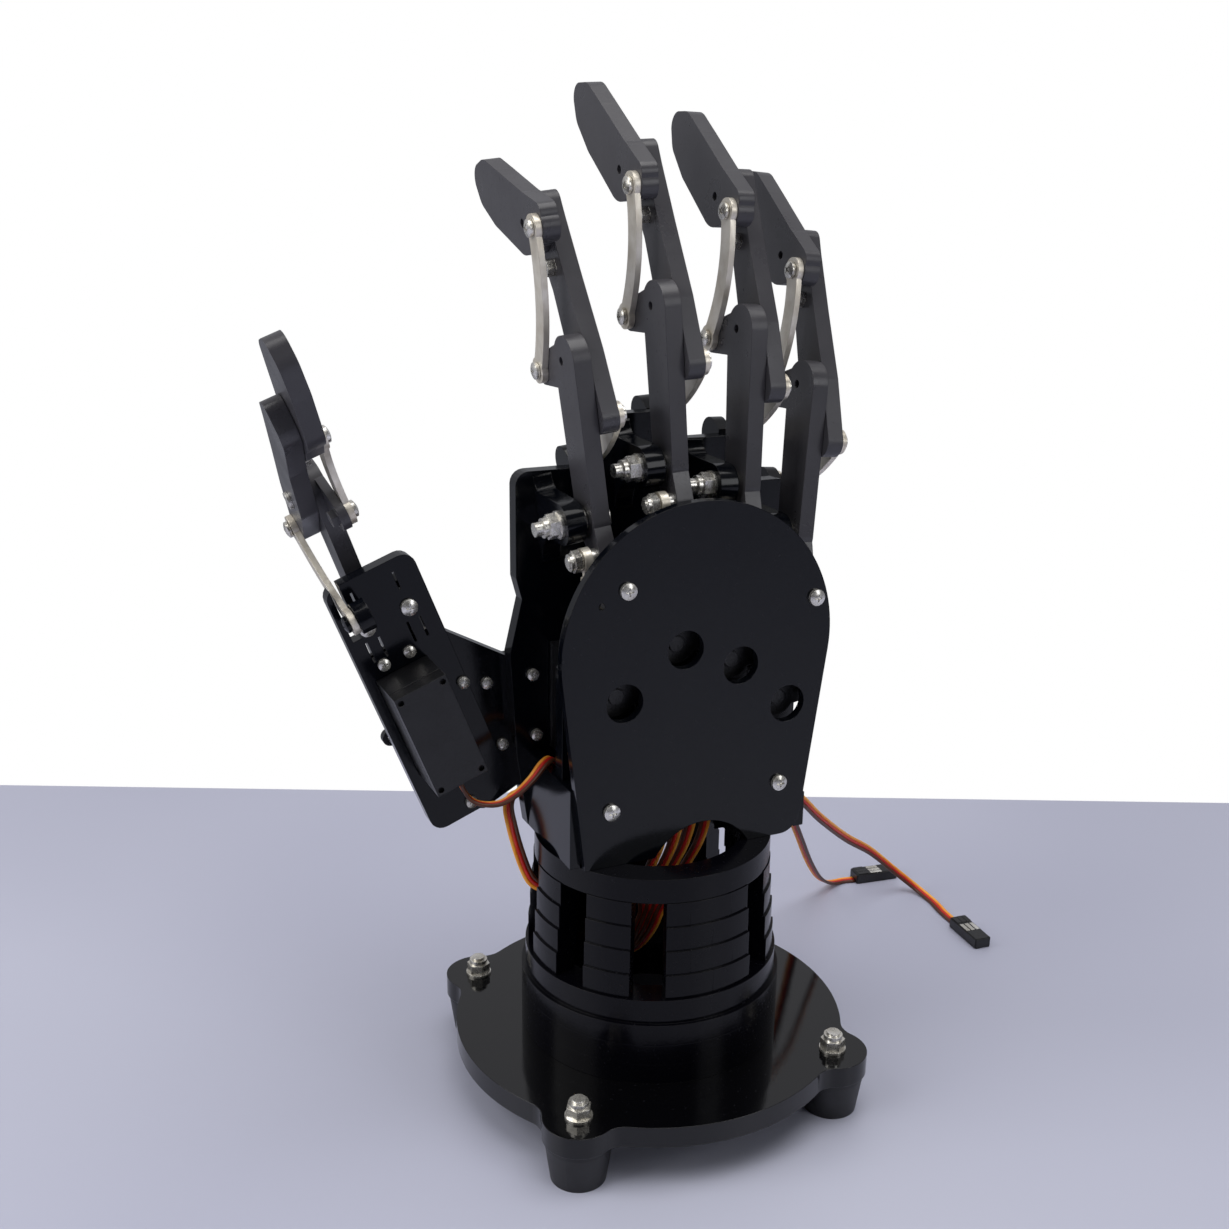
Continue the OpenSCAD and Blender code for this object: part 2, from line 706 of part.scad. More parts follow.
// round tube of radius r through the points p
module tube(p, r) {
  s = 8;
  n = len(p);
  m = carried(p, cross(heading(p, 0), [0.3, 0.5, 0.8]), 0);
  polyhedron(
    points = [for (i = [0:n - 1], j = [0:s - 1]) p[i] +
      r * (cos(j * 360 / s) * m[i] + sin(j * 360 / s) * cross(heading(p, i), m[i]))],
    faces = concat(
      [[for (j = [0:s - 1]) j], [for (j = [s - 1:-1:0]) (n - 1) * s + j]],
      [for (i = [0:n - 2], j = [0:s - 1])
        [i * s + j, (i + 1) * s + j, (i + 1) * s + (j + 1) % s]],
      [for (i = [0:n - 2], j = [0:s - 1])
        [i * s + j, (i + 1) * s + (j + 1) % s, i * s + (j + 1) % s]]));
}

module thumb_lead() { color("saddlebrown") tube(thumb_route, lead_d / 2); }
module notch_leads() { color("saddlebrown") tube(notch_route, bundle_d / 2); }
module side_lead_a() { color("saddlebrown") tube(side_a_route, lead_d / 2); }
module side_lead_b() { color("saddlebrown") tube(side_b_route, lead_d / 2); }

// plug on the last point of a route, in line with the lead
module one_plug(p) {
  n = len(p);
  e = p[n - 1];
  h = heading(p, n - 1);
  translate([e[0], e[1], 0]) rotate([0, 0, atan2(h[1], h[0])])
    translate([0, -plug_w / 2, 0]) cube([plug_l, plug_w, plug_h]);
}

module lead_plugs() {
  color("black") {
    one_plug(side_a_route);
    one_plug(side_b_route);
  }
}

// ---- one finger: x = 0 is the -X face of the first phalanx ----
function pip(a1) = lean([0, near_l], a1);
function dip(a1, a2) = pip(a1) + lean([0, mid_l], a2);

module proximal(a1) {
  leaned([0, 0], a1) {
    difference() {
      union() {
        plate(0, plate_t) union() {
          link2d([-1, 0], 7.5, [-2.5, near_l], 8.6);
          link2d([0, 0], 7.4, lever, 4.6);
        }
        plate(0, plate_t / 2) link2d([-1, near_l - 1.5], 8, [0, near_l] + ear_e, 5.4);
      }
      pin([0, 0], m5_r + run_gap, -1, plate_t + 2);
      pin([0, near_l], m3_r, -1, 4);
    }
    pin([0, near_l], m3_r, plate_t - 1, lb + 0.5 + 1);
    pin([0, near_l], 3.2, link_b - 0.05, 1.2);
    pin([0, near_l] + ear_e, m3_r, -link_t - 0.5, link_t + 1);
    translate([-link_t - 0.3, ear_e[0], near_l + ear_e[1]]) rotate([0, -90, 0])
      pan_head(m3_head, 2);
    hexpin([0, near_l] + ear_e, 5.5, plate_t / 2 - 0.1, 2.5);
    pin(lever, m4_r, -10.6, 11);
    translate([-6, lever[0], lever[1]]) rotate([0, -90, 0]) lock_nut(7, 4, m4_r);
    pin(lever, 3.2, -6.1, 0.5);
    pin(lever, 3.2, -2.2, 2.3);
  }
}

module intermediate(a1, a2, h = 32.5) {
  leaned(pip(a1), a2) {
    plate(lb, plate_t) difference() {
      union() {
        link2d(tail_t, 5.6, [0.3, 0], 8);
        link2d([0.3, 0], 8, [-0.8, 26], 6.5);
        link2d([-0.8, 26], 6.5, [0, mid_l - 1.2], 7.4);
        link2d([0, mid_l - 1.2], 7.4, [-3.2, mid_l + 4.3], 4.5);
      }
      circle(m3_r + run_gap);
    }
    pin([0, mid_l], m3_r, 3, lb - 2);
    pin(tail_t, m3_r, link_b - 0.5, link_t + 1.2);
    translate([link_b + link_t + 0.4, tail_t[0], tail_t[1]]) rotate([0, 90, 0])
      pan_head(m3_head, 1.8);
    hexpin([0, h], 5.5, lb - 3, 3.2);
  }
}

module distal(a1, a2, a3, cant, l) {
  leaned(dip(a1, a2), a3) {
    plate(0, plate_t) difference() {
      union() {
        rotate(cant) {
          link2d([0, 0], 10.7, [-0.7, l * 0.635], 10.2);
          link2d([-0.7, l * 0.635], 10.2, [-2, l * 0.92], 8.9);
          link2d([-2, l * 0.92], 8.9, [-2.5, l + 2.5], 5.5);
        }
        link2d([-0.6, -1], 10.2, [-7, -12], 4.2);
        link2d([-7, -12], 4.2, [0.5, -7.5], 5);
        link2d([-1, -1], 9, tail_f, 5.2);
      }
      circle(m3_r + run_gap);
    }
    pin(tail_f, m3_r, -link_t - 0.5, link_t + 1);
    translate([-link_t - 0.3, tail_f[0], tail_f[1]]) rotate([0, -90, 0]) pan_head(m3_head, 2);
  }
}

// front link from the ear of the first phalanx to the tail of the tip
module front_link(a1, a2, a3) {
  e = pip(a1) + lean(ear_e, a1);
  f = dip(a1, a2) + lean(tail_f, a3);
  d = f - e;
  leaned(e, atan2(d[0], d[1])) plate(-link_t - 0.1, link_t) difference() {
    mirror([1, 0]) strap2d(norm(d), link_w, link_eye, link_bow);
    circle(m3_r + run_gap);
    translate([0, norm(d)]) circle(m3_r + free_gap);
  }
}

// rear link from the bracket on the palm to the tail of the second phalanx
module rear_link(a1, a2) {
  t = pip(a1) + lean(tail_t, a2);
  d = t - ground_g;
  leaned(ground_g, atan2(d[0], d[1])) plate(link_b, link_t) difference() {
    mirror([1, 0]) strap2d(norm(d), link_w, link_eye, link_bow);
    circle(m3_r + run_gap);
    translate([0, norm(d)]) circle(m3_r + free_gap);
  }
}

// rod between two points
module rod(a, b, r) {
  d = b - a;
  translate(a) rotate([0, acos(d[2] / norm(d)), atan2(d[1], d[0])]) cylinder(r = r, h = norm(d));
}

// world point p in the frame of a finger
function local(p, k, s, turn) = let (d = p - k, f = (turn == 0) ? 1 : -1)
  [f * (d[0] * cos(s) + d[2] * sin(s)), f * d[1], -d[0] * sin(s) + d[2] * cos(s)];

// far end of the rod at a servo arm: arm_side 1 points to -X, -1 to +X
function arm_end(s, arm_side) = [s[0] - arm_side * arm_l, rod_y, s[1]];
rod_y = servo_y - servo_h - 1.8 - arm_t - rod_r - rod_lift;
thumb_rod_y = palm_y + palm_t - ear_up + servo_h + 1.8 + arm_t + rod_r + rod_lift;
thumb_arm_end = let (x = thumb_s[0] + arm_l, z = thumb_s[1])
  [thumb_c[0] + x * cos(thumb_lean) - z * sin(thumb_lean), thumb_rod_y,
   thumb_c[1] + x * sin(thumb_lean) + z * cos(thumb_lean)];

// push rod: eye on the lever bolt, rod, cranked end through the servo arm
module pushrod(a1, p) {
  w = lean(lever, a1);
  a = [-3.9, w[0], w[1]];
  q = (p - a) / norm(p - a);
  difference() {
    union() {
      pin(w, 4.2, -5.4, 3);
      rod(a + q * 3, a + q * 6.5, 1);
      rod(a + q * 6.4, p, rod_r);
      rod(a + q * 6, a + q * 14, 1.6);
    }
    pin(w, m4_r + run_gap, -6.5, 6);
  }
  translate(p) sphere(rod_r + 0.1);
  translate(p) rotate([-90, 0, 0]) cylinder(r = 0.9, h = rod_r + rod_lift + arm_t);
}

// servo arm round a shaft pointing +y
module horn(side) {
  translate([0, servo_h + 1.8 + arm_t, 0]) rotate([90, 0, 0]) linear_extrude(arm_t)
    difference() {
      union() {
        circle(7.4);
        for (q = [0, 180]) rotate(q) {
          translate([arm_l, 0]) circle(3);
          polygon([[0, -5], [arm_l, -2.7], [arm_l, 2.7], [0, 5]]);
        }
      }
      circle(shaft_r + run_gap);
      translate([side * arm_l, 0]) circle(0.9 + 0.7);
      translate([-side * arm_l, 0]) circle(1);
    }
}

module finger_horn(s, side) {
  color("dimgray") translate([s[0], servo_y, s[1]]) rotate([0, 0, 180]) horn(side);
}

// ---- index ----
module index_proximal() { color("black") seat(index_k, index_splay) proximal(near_lean); }
module index_intermediate() {
  color("black") seat(index_k, index_splay) intermediate(near_lean, mid_lean);
}
module index_distal() {
  color("black") seat(index_k, index_splay) distal(near_lean, mid_lean, index_tip_lean, 0, tip_l);
}
module index_front_link() {
  color("silver") seat(index_k, index_splay) front_link(near_lean, mid_lean, index_tip_lean);
}
module index_rear_link() { color("silver") seat(index_k, index_splay) rear_link(near_lean, mid_lean); }
module index_pushrod() {
  color("silver") seat(index_k, index_splay)
    pushrod(near_lean, local(arm_end(index_s, 1), index_k, index_splay, 0));
}
module index_horn() { finger_horn(index_s, 1); }

// ---- middle ----
module middle_proximal() { color("black") seat(middle_k, middle_splay) proximal(near_lean); }
module middle_intermediate() {
  color("black") seat(middle_k, middle_splay) intermediate(near_lean, mid_lean);
}
module middle_distal() {
  color("black") seat(middle_k, middle_splay) distal(near_lean, mid_lean, tip_lean, 0, tip_l);
}
module middle_front_link() {
  color("silver") seat(middle_k, middle_splay) front_link(near_lean, mid_lean, tip_lean);
}
module middle_rear_link() { color("silver") seat(middle_k, middle_splay) rear_link(near_lean, mid_lean); }
module middle_pushrod() {
  color("silver") seat(middle_k, middle_splay)
    pushrod(near_lean, local(arm_end(middle_s, 1), middle_k, middle_splay, 0));
}
module middle_horn() { finger_horn(middle_s, 1); }

// ---- ring ----
module ring_proximal() { color("black") seat(ring_k, ring_splay) proximal(near_lean); }
module ring_intermediate() {
  color("black") seat(ring_k, ring_splay) intermediate(near_lean, mid_lean);
}
module ring_distal() {
  color("black") seat(ring_k, ring_splay) distal(near_lean, mid_lean, tip_lean, 0, tip_l);
}
module ring_front_link() {
  color("silver") seat(ring_k, ring_splay) front_link(near_lean, mid_lean, tip_lean);
}
module ring_rear_link() { color("silver") seat(ring_k, ring_splay) rear_link(near_lean, mid_lean); }
module ring_pushrod() {
  color("silver") seat(ring_k, ring_splay)
    pushrod(near_lean, local(arm_end(ring_s, -1), ring_k, ring_splay, 0));
}
module ring_horn() { finger_horn(ring_s, -1); }

// ---- little ----
module little_proximal() { color("black") seat(little_k, little_splay) proximal(near_lean); }
module little_intermediate() {
  color("black") seat(little_k, little_splay) intermediate(near_lean, mid_lean);
}
module little_distal() {
  color("black") seat(little_k, little_splay) distal(near_lean, mid_lean, tip_lean, 0, tip_l);
}
module little_front_link() {
  color("silver") seat(little_k, little_splay) front_link(near_lean, mid_lean, tip_lean);
}
module little_rear_link() { color("silver") seat(little_k, little_splay) rear_link(near_lean, mid_lean); }
module little_pushrod() {
  color("silver") seat(little_k, little_splay)
    pushrod(near_lean, local(arm_end(little_s, -1), little_k, little_splay, 0));
}
module little_horn() { finger_horn(little_s, -1); }

// ---- thumb ----
module thumb_proximal() { color("black") seat(thumb_k, thumb_lean, 180) proximal(thumb_near_lean); }
module thumb_intermediate() {
  color("black") seat(thumb_k, thumb_lean, 180) intermediate(thumb_near_lean, thumb_mid_lean, 24);
}
module thumb_distal() {
  color("black") seat(thumb_k, thumb_lean, 180)
    distal(thumb_near_lean, thumb_mid_lean, thumb_tip_lean, -8, thumb_tip_l);
}
module thumb_front_link() {
  color("silver") seat(thumb_k, thumb_lean, 180)
    front_link(thumb_near_lean, thumb_mid_lean, thumb_tip_lean);
}
module thumb_rear_link() {
  color("silver") seat(thumb_k, thumb_lean, 180) rear_link(thumb_near_lean, thumb_mid_lean);
}
module thumb_pushrod() {
  color("silver") seat(thumb_k, thumb_lean, 180)
    pushrod(thumb_near_lean, local(thumb_arm_end, thumb_k, thumb_lean, 180));
}
module thumb_horn() {
  color("dimgray") thumb_seat()
    translate([thumb_s[0], palm_y + palm_t - ear_up, thumb_s[1]]) rotate([0, 180, 0]) horn(-1);
}

base_plate();
rubber_feet();
m5_bolts();
turret_rings();
turret_tiles();
palm_plate();
servo_plate();
back_cover();
side_walls();
knuckle_ears();
link_brackets();
cover_standoffs();
m3_screws();
servo_index();
servo_middle();
servo_ring();
servo_little();
servo_thumb();
thumb_plate();
thumb_bridge();
thumb_lead();
notch_leads();
side_lead_a();
side_lead_b();
lead_plugs();
index_proximal();
index_intermediate();
index_distal();
index_front_link();
index_rear_link();
index_pushrod();
index_horn();
middle_proximal();
middle_intermediate();
middle_distal();
middle_front_link();
middle_rear_link();
middle_pushrod();
middle_horn();
ring_proximal();
ring_intermediate();
ring_distal();
ring_front_link();
ring_rear_link();
ring_pushrod();
ring_horn();
little_proximal();
little_intermediate();
little_distal();
little_front_link();
little_rear_link();
little_pushrod();
little_horn();
thumb_proximal();
thumb_intermediate();
thumb_distal();
thumb_front_link();
thumb_rear_link();
thumb_pushrod();
thumb_horn();
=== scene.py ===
import math
import bpy
import bmesh
from mathutils import Vector, Matrix


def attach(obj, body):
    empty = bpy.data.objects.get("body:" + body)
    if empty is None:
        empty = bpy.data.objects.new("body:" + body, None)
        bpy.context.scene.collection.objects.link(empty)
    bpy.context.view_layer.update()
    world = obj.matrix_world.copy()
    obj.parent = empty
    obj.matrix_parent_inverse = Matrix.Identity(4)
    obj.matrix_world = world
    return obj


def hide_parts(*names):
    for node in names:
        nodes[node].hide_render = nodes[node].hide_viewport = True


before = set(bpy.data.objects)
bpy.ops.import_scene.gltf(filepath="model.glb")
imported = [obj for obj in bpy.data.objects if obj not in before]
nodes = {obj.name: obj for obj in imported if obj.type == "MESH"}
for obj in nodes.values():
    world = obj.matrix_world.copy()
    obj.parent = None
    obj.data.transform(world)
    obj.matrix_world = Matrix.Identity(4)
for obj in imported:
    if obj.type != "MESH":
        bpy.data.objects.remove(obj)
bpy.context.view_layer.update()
scene = bpy.context.scene
print("stage: frame loaded", len(nodes), "nodes")


# ---- camera ----
# focal length as a share of the frame's width
focalShare = 1500.0 / 1229.0


def makeCamera():
    data = bpy.data.cameras.new("lookCamera")
    data.sensor_fit = "HORIZONTAL"
    data.sensor_width = 36.0
    data.lens = focalShare * data.sensor_width
    data.clip_start = 0.02
    data.clip_end = 20.0
    camera = bpy.data.objects.new("lookCamera", data)
    scene.collection.objects.link(camera)
    right = Vector((0.909875, -0.414676, 0.013077))
    up = Vector((0.113129, 0.278304, 0.953808))
    back = Vector((-0.39916, -0.866367, 0.300133))
    turn = Matrix((right, up, back)).transposed().to_4x4()
    camera.matrix_world = Matrix.Translation((-0.22995, -0.46239, 0.34874)) @ turn
    scene.camera = camera


makeCamera()


# ---- routes of the servo leads, in metres ----
thumbRoute = [(-0.0752, 0.002, 0.1341), (-0.0739, 0.002, 0.1308), (-0.0715, 0.0005, 0.127),
              (-0.0675, -0.002, 0.1256), (-0.062, -0.004, 0.126), (-0.056, -0.0045, 0.129),
              (-0.05, -0.0035, 0.133), (-0.0445, -0.0005, 0.1366), (-0.04, 0.003, 0.1366),
              (-0.037, 0.006, 0.133), (-0.0364, 0.008, 0.127), (-0.0364, 0.008, 0.117),
              (-0.0365, 0.006, 0.109), (-0.0365, 0.006, 0.1032)]
notchRoute = [(0.008, -0.0095, 0.143), (0.008, -0.0125, 0.138), (0.0075, -0.015, 0.132),
              (0.007, -0.0164, 0.125), (0.006, -0.0165, 0.117), (0.005, -0.0158, 0.109),
              (0.004, -0.0135, 0.101), (0.003, -0.0095, 0.093), (0.002, -0.005, 0.085),
              (0.002, -0.001, 0.076), (0.001, 0.002, 0.067), (0, 0.006, 0.058), (0, 0.012, 0.049),
              (0, 0.02, 0.0415), (0, 0.027, 0.036), (0, 0.031, 0.031), (0, 0.0325, 0.027),
              (0, 0.0325, 0.024)]
sideRouteA = [(0.0055, -0.015, 0.107), (0.007, -0.008, 0.107), (0.008, 0.002, 0.107),
              (0.008, 0.015, 0.107), (0.009, 0.024, 0.107), (0.014, 0.0295, 0.105),
              (0.027, 0.03, 0.109), (0.04, 0.029, 0.112), (0.052, 0.0275, 0.112),
              (0.062, 0.028, 0.105), (0.07, 0.029, 0.098), (0.086, 0.033, 0.086),
              (0.105, 0.046, 0.068), (0.132, 0.065, 0.045), (0.155, 0.077, 0.028),
              (0.172, 0.08, 0.013), (0.182, 0.076, 0.004), (0.184, 0.066, 0.0016),
              (0.182, 0.053, 0.0016), (0.181, 0.041, 0.0016)]
sideRouteB = [(0.002, -0.001, 0.077), (-0.01, 0.001, 0.08), (-0.024, 0.005, 0.082),
              (-0.032, 0.0074, 0.082), (-0.04, 0.0092, 0.082), (-0.044, 0.011, 0.084),
              (-0.046, 0.013, 0.088), (-0.048, 0.016, 0.096), (-0.0485, 0.021, 0.103),
              (-0.0475, 0.0275, 0.109), (-0.043, 0.032, 0.1115), (-0.036, 0.0335, 0.11),
              (-0.027, 0.034, 0.1065), (-0.015, 0.035, 0.1048), (0, 0.037, 0.1048),
              (0.015, 0.036, 0.1048), (0.027, 0.034, 0.1065), (0.04, 0.033, 0.1075),
              (0.052, 0.032, 0.106), (0.063, 0.032, 0.1), (0.075, 0.034, 0.09),
              (0.088, 0.044, 0.074), (0.102, 0.057, 0.054), (0.117, 0.072, 0.033),
              (0.132, 0.086, 0.015), (0.144, 0.095, 0.005), (0.153, 0.099, 0.0016),
              (0.161, 0.098, 0.0016)]


# ---- colour and node helpers ----
# linear colour of a hex code
def srgb(hexText):
    parts = [int(hexText[i:i + 2], 16) / 255.0 for i in (1, 3, 5)]
    linear = [c / 12.92 if c <= 0.04045 else ((c + 0.055) / 1.055) ** 2.4 for c in parts]
    return tuple(linear) + (1.0,)


def add(tree, kind, links=None, **values):
    node = tree.nodes.new(kind)
    for name, value in values.items():
        if hasattr(node, name):
            setattr(node, name, value)
        else:
            key = name.replace("_", " ")
            target = node.inputs[key] if key in node.inputs else node.inputs[key.title()]
            target.default_value = value
    for name, source in (links or {}).items():
        tree.links.new(source, node.inputs[name])
    return node


def newMaterial(name):
    material = bpy.data.materials.new(name)
    material.use_nodes = True
    tree = material.node_tree
    tree.nodes.clear()
    return material, tree


def ramp(tree, source, stops):
    node = tree.nodes.new("ShaderNodeValToRGB")
    elements = node.color_ramp.elements
    while len(elements) < len(stops):
        elements.new(0.5)
    for element, (place, colour) in zip(elements, stops):
        element.position = place
        element.color = colour
    tree.links.new(source, node.inputs["Fac"])
    return node.outputs["Color"]


def objectNoise(tree, scale, detail=3.0, stretch=(1, 1, 1)):
    coords = add(tree, "ShaderNodeTexCoord")
    mapping = add(tree, "ShaderNodeMapping", {"Vector": coords.outputs["Object"]}, Scale=stretch)
    return add(tree, "ShaderNodeTexNoise", {"Vector": mapping.outputs["Vector"]},
               Scale=scale, Detail=detail)


def mapped(tree, source, low, high, start=0.0, end=1.0):
    node = add(tree, "ShaderNodeMapRange", {"Value": source})
    node.inputs["From Min"].default_value = start
    node.inputs["From Max"].default_value = end
    node.inputs["To Min"].default_value = low
    node.inputs["To Max"].default_value = high
    return node.outputs["Result"]


def finishMaterial(tree, shader):
    out = add(tree, "ShaderNodeOutputMaterial")
    tree.links.new(shader.outputs[0], out.inputs["Surface"])


# cast acrylic: dark and slightly wavy, with duller specks of dust
def blackAcrylic(name, base="#06080E", rough=0.13, wave=0.02, shine=0.3):
    material, tree = newMaterial(name)
    cloud = objectNoise(tree, 55.0, 4.0)
    dust = objectNoise(tree, 900.0, 2.0)
    fine = objectNoise(tree, 2600.0, 2.0)
    bevel = add(tree, "ShaderNodeBevel", samples=6)
    bevel.inputs["Radius"].default_value = 0.00035
    lowBump = add(tree, "ShaderNodeBump",
                  {"Height": cloud.outputs["Fac"], "Normal": bevel.outputs["Normal"]},
                  Strength=wave, Distance=0.004)
    bump = add(tree, "ShaderNodeBump",
               {"Height": fine.outputs["Fac"], "Normal": lowBump.outputs["Normal"]},
               Strength=0.05, Distance=0.0002)
    patchy = mapped(tree, cloud.outputs["Fac"], rough * 0.75, rough * 1.3, 0.3, 0.7)
    specks = mapped(tree, dust.outputs["Fac"], 0.0, 0.14, 0.6, 0.8)
    roughness = add(tree, "ShaderNodeMath", {0: patchy, 1: specks}, operation="ADD")
    colour = ramp(tree, dust.outputs["Fac"],
                  [(0.0, srgb(base)), (0.68, srgb(base)), (0.85, srgb("#26262A"))])
    shader = add(tree, "ShaderNodeBsdfPrincipled",
                 {"Base Color": colour, "Roughness": roughness.outputs[0],
                  "Normal": bump.outputs["Normal"]})
    shader.inputs["IOR"].default_value = 1.49
    shader.inputs["Specular IOR Level"].default_value = shine
    finishMaterial(tree, shader)
    return material


# fine spark-eroded texture on moulded nylon
def mouldedPlastic(name, base, light, rough=0.45, grain=1400.0):
    material, tree = newMaterial(name)
    cloud = objectNoise(tree, 90.0, 3.0)
    fine = objectNoise(tree, grain, 2.0)
    bevel = add(tree, "ShaderNodeBevel", samples=4)
    bevel.inputs["Radius"].default_value = 0.0004
    bump = add(tree, "ShaderNodeBump",
               {"Height": fine.outputs["Fac"], "Normal": bevel.outputs["Normal"]},
               Strength=0.25, Distance=0.0003)
    colour = ramp(tree, cloud.outputs["Fac"], [(0.3, srgb(base)), (0.75, srgb(light))])
    roughness = mapped(tree, fine.outputs["Fac"], rough - 0.08, rough + 0.1, 0.3, 0.7)
    shader = add(tree, "ShaderNodeBsdfPrincipled",
                 {"Base Color": colour, "Roughness": roughness, "Normal": bump.outputs["Normal"]})
    finishMaterial(tree, shader)
    return material


# plated metal with a faint drift of colour and a fine grain, which stretch can draw out
def platedMetal(name, base, dark, rough=0.24, stretch=(1, 1, 1), metallic=0.85):
    material, tree = newMaterial(name)
    cloud = objectNoise(tree, 130.0, 4.0)
    lines = objectNoise(tree, 900.0, 3.0, stretch)
    bevel = add(tree, "ShaderNodeBevel", samples=4)
    bevel.inputs["Radius"].default_value = 0.0002
    bump = add(tree, "ShaderNodeBump",
               {"Height": lines.outputs["Fac"], "Normal": bevel.outputs["Normal"]},
               Strength=0.12, Distance=0.0002)
    colour = ramp(tree, cloud.outputs["Fac"], [(0.3, srgb(dark)), (0.62, srgb(base))])
    roughness = mapped(tree, lines.outputs["Fac"], rough - 0.06, rough + 0.14, 0.3, 0.7)
    shader = add(tree, "ShaderNodeBsdfPrincipled",
                 {"Base Color": colour, "Roughness": roughness, "Normal": bump.outputs["Normal"]},
                 Metallic=metallic)
    finishMaterial(tree, shader)
    return material


# moulded rubber, paler and duller in patches
def footRubber(name):
    material, tree = newMaterial(name)
    cloud = objectNoise(tree, 160.0, 5.0)
    bump = add(tree, "ShaderNodeBump", {"Height": cloud.outputs["Fac"]},
               Strength=0.2, Distance=0.0004)
    colour = ramp(tree, cloud.outputs["Fac"], [(0.35, srgb("#0C0C0E")), (0.8, srgb("#242428"))])
    shader = add(tree, "ShaderNodeBsdfPrincipled",
                 {"Base Color": colour, "Roughness": mapped(tree, cloud.outputs["Fac"], 0.3, 0.6),
                  "Normal": bump.outputs["Normal"]})
    finishMaterial(tree, shader)
    return material


look = {
    "acrylic": blackAcrylic("black acrylic, polished"),
    "baseAcrylic": blackAcrylic("black acrylic, mirror face", "#050507", 0.045, 0.012, 0.5),
    # the finger plates are the same near-black acrylic, and their lighter grey base colour is
    # painted reflection of the bright room
    "finger": blackAcrylic("black acrylic, lightened as painted reflection", "#434246", 0.32, 0.03, 0.5),
    "turret": blackAcrylic("black acrylic, cut edge", "#05050A", 0.2, 0.05, 0.2),
    "servo": mouldedPlastic("moulded nylon, servo case", "#0B0B0D", "#151518", 0.36),
    "rubber": footRubber("moulded rubber foot"),
    "steel": platedMetal("zinc plated steel", "#F0EEE8", "#C4C0B6"),
    # the strip keeps its own pale nickel colour, but it is set lighter and only partly metallic, so
    # the colour also paints the bright reflection of the room
    "link": platedMetal("nickel plated strip", "#F2ECDF", "#D8CFBE", 0.34, (1, 1, 0.06), 0.6),
}


# ---- servo leads: three insulated wires side by side ----
# soft insulation, slightly glossy, with a faint change of shade
def wireSleeve(name, base, light):
    material, tree = newMaterial(name)
    cloud = objectNoise(tree, 260.0, 3.0)
    colour = ramp(tree, cloud.outputs["Fac"], [(0.35, srgb(base)), (0.75, srgb(light))])
    shader = add(tree, "ShaderNodeBsdfPrincipled",
                 {"Base Color": colour, "Roughness": mapped(tree, cloud.outputs["Fac"], 0.32, 0.5)})
    finishMaterial(tree, shader)
    return material


# the orange sleeve's colours are the wire's own orange, set brighter and yellower as painted light
# on leads that lie in shade
wireLook = [wireSleeve("brown wire sleeve", "#4A2413", "#5E3019"),
            wireSleeve("red wire sleeve", "#BE1B14", "#DA2C20"),
            wireSleeve("orange wire sleeve, brightened as painted light", "#FFA028", "#FFC052")]


# thickness of one wire in metres, and the number of its sides
wire = 0.0015
wireSides = 9
# the wires are thinner than the lead in the CAD, so its route is followed this much lower
routeDrop = 0.0009


# curve through the points of a route, never lower than floorGap above the table
def smoothRoute(points, floorGap, step=0.0016):
    spots = [Vector(p) for p in points]
    ends = [spots[0] * 2 - spots[1]] + spots + [spots[-1] * 2 - spots[-2]]
    line = []
    for i in range(1, len(ends) - 2):
        a, b, c, d = ends[i - 1:i + 3]
        count = max(2, round((c - b).length / step))
        for j in range(count):
            t = j / count
            line.append(0.5 * (2 * b + (c - a) * t + (2 * a - 5 * b + 4 * c - d) * t * t
                               + (3 * b - a - 3 * c + d) * t ** 3))
    line.append(spots[-1])
    for spot in line:
        spot.z = max(spot.z - routeDrop, floorGap)
    return line


# side vectors along a line that start and end as asked, with the twist spread evenly
def turnedFrames(line, startSide, endSide):
    last = len(line) - 1
    ways = [(line[min(i + 1, last)] - line[max(i - 1, 0)]).normalized() for i in range(last + 1)]
    sides = []
    side = Vector(startSide)
    for way in ways:
        side = (side - way * side.dot(way)).normalized()
        sides.append(side.copy())
    goal = Vector(endSide)
    goal = (goal - ways[-1] * goal.dot(ways[-1])).normalized()
    twist = math.atan2(ways[-1].dot(sides[-1].cross(goal)), sides[-1].dot(goal))
    turned = [Matrix.Rotation(twist * i / last, 3, ways[i]) @ sides[i] for i in range(last + 1)]
    return ways, turned


# one flat lead: three round wires side by side along a smoothed route
def ribbon(name, nodeName, route, startSide, endSide):
    line = smoothRoute(route, wire / 2)
    ways, sides = turnedFrames(line, startSide, endSide)
    shape = bmesh.new()
    turns = [2 * math.pi * k / wireSides for k in range(wireSides)]
    for strand in range(3):
        across = (strand - 1) * wire
        rings = []
        for spot, way, side in zip(line, ways, sides):
            lift = way.cross(side)
            middle = spot + side * across
            outward = [side * math.cos(a) + lift * math.sin(a) for a in turns]
            rings.append([shape.verts.new(middle + ray * wire / 2) for ray in outward])
        for low, high in zip(rings, rings[1:]):
            for k in range(wireSides):
                after = (k + 1) % wireSides
                face = shape.faces.new((low[k], low[after], high[after], high[k]))
                face.material_index = strand
                face.smooth = True
        for cap in (list(reversed(rings[0])), rings[-1]):
            face = shape.faces.new(cap)
            face.material_index = strand
    mesh = bpy.data.meshes.new(name)
    shape.to_mesh(mesh)
    shape.free()
    piece = bpy.data.objects.new(name, mesh)
    scene.collection.objects.link(piece)
    for material in wireLook:
        mesh.materials.append(material)
    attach(piece, "base")
    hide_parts(nodeName)


